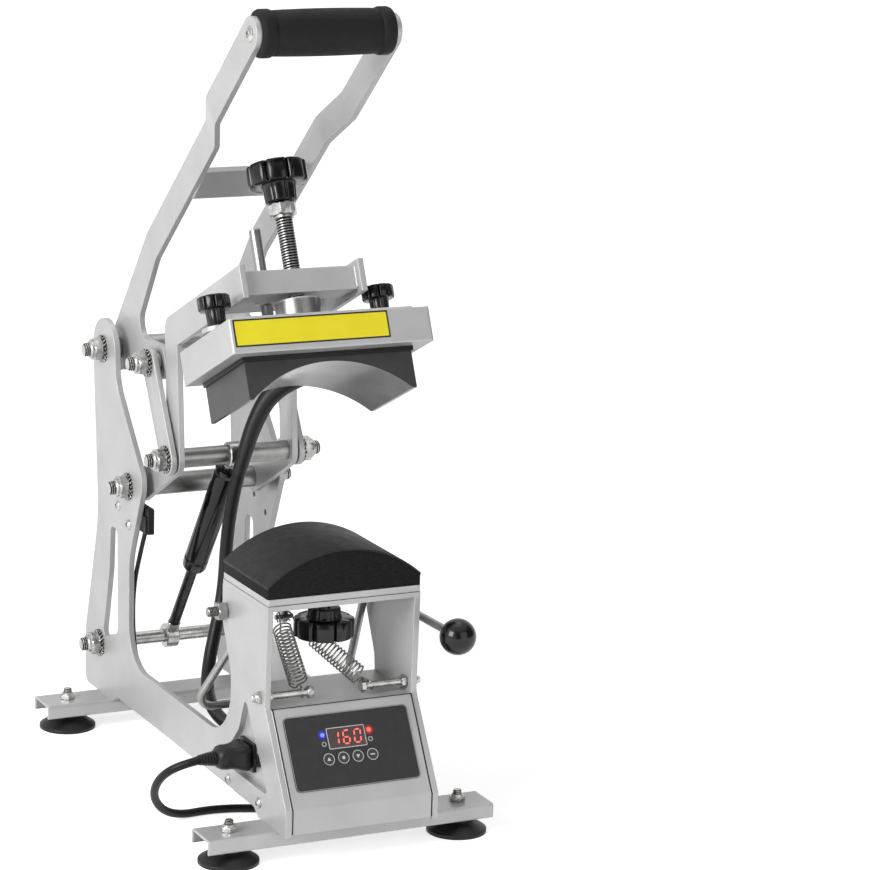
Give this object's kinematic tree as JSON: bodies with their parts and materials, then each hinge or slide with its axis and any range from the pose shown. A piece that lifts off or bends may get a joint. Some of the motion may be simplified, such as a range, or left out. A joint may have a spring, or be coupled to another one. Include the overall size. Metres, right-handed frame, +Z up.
{
  "type": "cap heat press",
  "caption": "Clamshell heat press for caps: toggle-linked handle swings a heated curved platen down onto a curved rubber pad, with a fold-back cap bail and a control console.",
  "frame": {"origin": "on the floor, midway between the outermost points front and back and left and right, leads left out", "axes": "+X right as the operator faces the press, +Y to the back, +Z up; mirror plane X = 0 for the frame plates"},
  "size_m": [0.2638, 0.474, 0.6755],
  "materials": {
    "sheet_paint": "silver-grey satin enamel on sheet steel",
    "zinc": "bright zinc plating",
    "black_oxide": "black enamel",
    "chrome": "hard chrome",
    "rubber_black": "black rubber",
    "pad_rubber": "black silicone rubber, finely textured",
    "foam": "black closed-cell foam",
    "phenolic": "black moulded phenolic, glossy",
    "heater_coat": "dark non-stick coat on cast aluminium",
    "panel_film": "black printed film with a pale border",
    "display": "dark red tinted window",
    "key_white": "pale embossed film",
    "black_plastic": "black moulded nylon",
    "rocker_red": "red moulded plastic, glossy",
    "lamp_green": "green tinted lens",
    "cord_jacket": "black PVC jacket, satin",
    "spring_wire": "drawn spring wire"
  },
  "bodies": {
    "base": {"side_plate_left": "sheet_paint", "side_plate_right": "sheet_paint", "platform_frame": "sheet_paint", "pad_tray": "sheet_paint", "lower_pad": "pad_rubber", "rail_front": "sheet_paint", "rail_rear": "sheet_paint", "foot_front_left": "rubber_black", "foot_front_right": "rubber_black", "foot_rear_left": "rubber_black", "foot_rear_right": "rubber_black", "base_screws": "zinc", "console_cover": "sheet_paint", "control_panel": "panel_film", "display_window": "display", "switch_housing": "black_plastic", "power_lamp": "lamp_green", "power_inlet": "black_plastic", "pivot_rods": "zinc", "microswitch": "black_plastic", "switch_cable": "cord_jacket", "cable_clip": "black_plastic", "mains_connector": "cord_jacket", "mains_cord": "cord_jacket", "mains_coil": "cord_jacket", "mains_plug": "cord_jacket", "heater_cable": "cord_jacket", "return_spring_left": "spring_wire", "return_spring_right": "spring_wire"},
    "pad_knob": {"pad_knob": "phenolic"},
    "key_1": {"key_1": "key_white"},
    "key_2": {"key_2": "key_white"},
    "key_3": {"key_3": "key_white"},
    "key_4": {"key_4": "key_white"},
    "rocker": {"rocker": "rocker_red"},
    "bail": {"bail": "sheet_paint", "lever_ball": "phenolic"},
    "handle": {"handle_arm_left": "sheet_paint", "handle_arm_right": "sheet_paint", "handle_crossbar": "sheet_paint", "handle_grip": "foam", "handle_rods": "zinc"},
    "links": {"link_left": "sheet_paint", "link_right": "sheet_paint"},
    "upper_arm": {"yoke_left": "sheet_paint", "yoke_right": "sheet_paint", "yoke_front_bar": "sheet_paint", "yoke_rear_plate": "sheet_paint", "stop_buffer": "rubber_black", "arm_shafts": "zinc"},
    "gas_cylinder": {"gas_cylinder": "black_oxide"},
    "gas_rod": {"gas_rod": "chrome"},
    "platen": {"platen_housing": "sheet_paint", "heating_block": "heater_coat", "retaining_plate": "sheet_paint", "cable_gland": "black_plastic"},
    "screw": {"pressure_screw": "zinc", "pressure_knob": "phenolic"},
    "clamp_knob_left": {"clamp_knob_left": "phenolic"},
    "clamp_knob_right": {"clamp_knob_right": "phenolic"}
  },
  "joints": [
    {"name": "handle_fold", "type": "hinge", "parent": "base", "child": "handle", "pos_m": [0, 0.196, 0.3435], "axis": [1, 0, 0], "range_deg": [0, 38]},
    {"name": "arm_fold", "type": "hinge", "parent": "base", "child": "upper_arm", "pos_m": [0, 0.131, 0.233], "axis": [1, 0, 0], "range_deg": [0, 24.86], "deforming": ["heater_cable"]},
    {"name": "link_swing", "type": "hinge", "parent": "handle", "child": "links", "pos_m": [0, 0.10118, 0.3493], "axis": [1, 0, 0], "range_deg": [-61.74, 0]},
    {"name": "gas_cylinder_swing", "type": "hinge", "parent": "upper_arm", "child": "gas_cylinder", "pos_m": [0, 0.05632, 0.27359], "axis": [1, 0, 0], "range_deg": [-17.6, 0]},
    {"name": "gas_rod_swing", "type": "hinge", "parent": "base", "child": "gas_rod", "pos_m": [0, 0.2, 0.072], "axis": [1, 0, 0], "range_deg": [0, 7.27]},
    {"name": "platen_slide", "type": "slide", "parent": "upper_arm", "child": "platen", "axis": [0, 0.4204, 0.9074], "range_m": [-0.016, 0.004]},
    {"name": "screw_turn", "type": "hinge", "parent": "platen", "child": "screw", "pos_m": [0, -0.02949, 0.52888], "axis": [0, 0.4204, 0.9074], "range_deg": [-2880, 720]},
    {"name": "clamp_left_turn", "type": "hinge", "parent": "platen", "child": "clamp_knob_left", "pos_m": [-0.073, -0.07741, 0.42544], "axis": [0, 0.4204, 0.9074], "range_deg": [0, 720]},
    {"name": "clamp_right_turn", "type": "hinge", "parent": "platen", "child": "clamp_knob_right", "pos_m": [0.073, -0.07741, 0.42544], "axis": [0, 0.4204, 0.9074], "range_deg": [0, 720]},
    {"name": "pad_knob_turn", "type": "hinge", "parent": "base", "child": "pad_knob", "pos_m": [0, -0.141, 0.17], "axis": [0, 0, 1], "range_deg": [-720, 0]},
    {"name": "key_1_press", "type": "slide", "parent": "base", "child": "key_1", "axis": [0, 0.8533, -0.5215], "range_m": [0, 0.0005], "stiffness_N_per_m": 800},
    {"name": "key_2_press", "type": "slide", "parent": "base", "child": "key_2", "axis": [0, 0.8533, -0.5215], "range_m": [0, 0.0005], "stiffness_N_per_m": 800},
    {"name": "key_3_press", "type": "slide", "parent": "base", "child": "key_3", "axis": [0, 0.8533, -0.5215], "range_m": [0, 0.0005], "stiffness_N_per_m": 800},
    {"name": "key_4_press", "type": "slide", "parent": "base", "child": "key_4", "axis": [0, 0.8533, -0.5215], "range_m": [0, 0.0005], "stiffness_N_per_m": 800},
    {"name": "rocker_tilt", "type": "hinge", "parent": "base", "child": "rocker", "pos_m": [0.062, -0.14175, 0.0695], "axis": [0, 1, 0], "range_deg": [0, 14]},
    {"name": "bail_swing", "type": "hinge", "parent": "base", "child": "bail", "pos_m": [0, -0.095, 0.181], "axis": [1, 0, 0], "range_deg": [0, 25], "stiffness_Nm_per_rad": 2, "springref_deg": -8.59, "deforming": ["return_spring_left", "return_spring_right"]}
  ],
  "couplings": [
    {"joint": "arm_fold", "follows": "handle_fold", "ratio": 0.65414},
    {"joint": "link_swing", "follows": "handle_fold", "ratio": -1.6245},
    {"joint": "gas_cylinder_swing", "follows": "handle_fold", "ratio": -0.46293},
    {"joint": "gas_rod_swing", "follows": "handle_fold", "ratio": 0.19121},
    {"joint": "screw_turn", "follows": "platen_slide", "rad_per_m": 3141.6}
  ]
}
